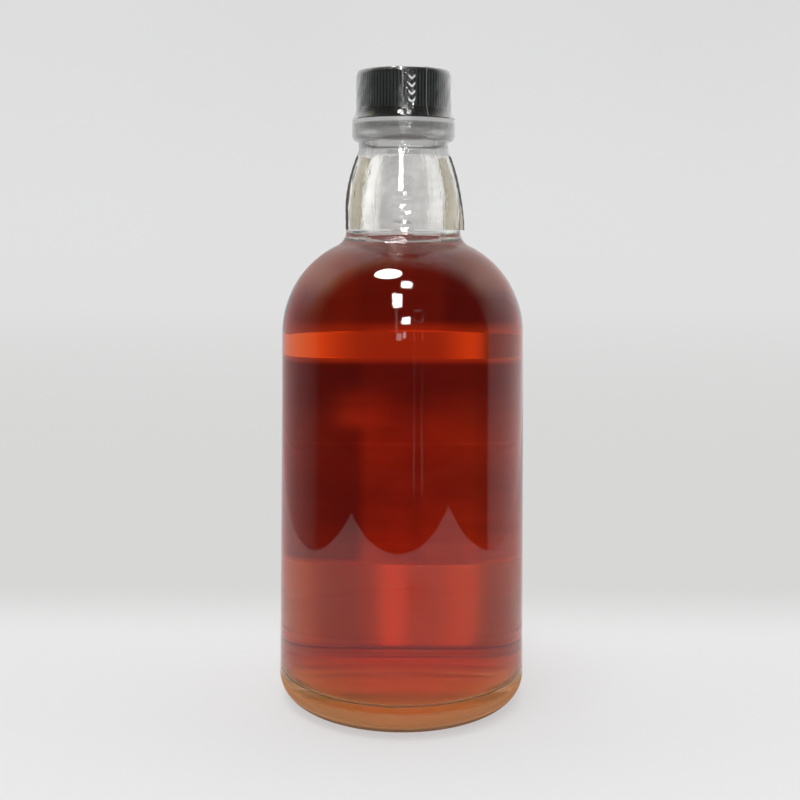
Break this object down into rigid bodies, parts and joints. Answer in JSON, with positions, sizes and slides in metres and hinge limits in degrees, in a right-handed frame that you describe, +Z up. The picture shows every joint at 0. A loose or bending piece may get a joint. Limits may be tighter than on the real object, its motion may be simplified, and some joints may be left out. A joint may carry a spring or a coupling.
{
  "type": "glass bottle with screw cap",
  "caption": "Round filled clear glass bottle with a domed shoulder, bulb neck, ribbed screw cap, perforated shrink seal and labels on its front.",
  "frame": {"origin": "centre of the base, on the surface that the bottle stands on", "axes": "+Z up along the bottle's axis, +Y towards the labelled front, -Y towards the bare back"},
  "size_m": [0.0858, 0.0858, 0.217],
  "materials": {
    "clear_glass": "clear flint glass, fire polished",
    "amber_liquid": "clear dark amber-red liquid",
    "foil": "smooth foil",
    "liner_foam": "fine foam",
    "insert_plastic": "moulded",
    "cap_black": "satin moulded with fine grip ribs",
    "clear_film": "glossy shrunk film",
    "label_paper": "uncoated printed paper"
  },
  "bodies": {
    "bottle": {"bottle_glass": "clear_glass", "liquid_fill": "amber_liquid", "seal_neck_band": "clear_film", "neck_label": "label_paper", "shoulder_label": "label_paper", "front_label": "label_paper"},
    "seal": {"rim_seal": "foil"},
    "liner": {"liner_disc": "liner_foam"},
    "cap": {"cap_shell": "cap_black", "cap_insert": "insert_plastic", "seal_sleeve": "clear_film"},
    "tear_strip": {"seal_tear_strip": "clear_film"}
  },
  "joints": [
    {"name": "cap_off", "type": "slide", "parent": "bottle", "child": "seal", "axis": [0, 0, 1], "range_m": [0, 0.06]},
    {"name": "cap_rise", "type": "slide", "parent": "seal", "child": "liner", "axis": [0, 0, 1], "range_m": [0, 0.00478]},
    {"name": "cap_turn", "type": "hinge", "parent": "liner", "child": "cap", "pos_m": [0, 0, 0.2], "axis": [0, 0, 1], "range_deg": [0, 540]},
    {"name": "strip_peel", "type": "slide", "parent": "cap", "child": "tear_strip", "axis": [0.225, -0.9744, 0], "range_m": [0, 0.025]}
  ],
  "couplings": [
    {"joint": "cap_rise", "follows": "cap_turn", "m_per_rad": 0.00050611}
  ]
}
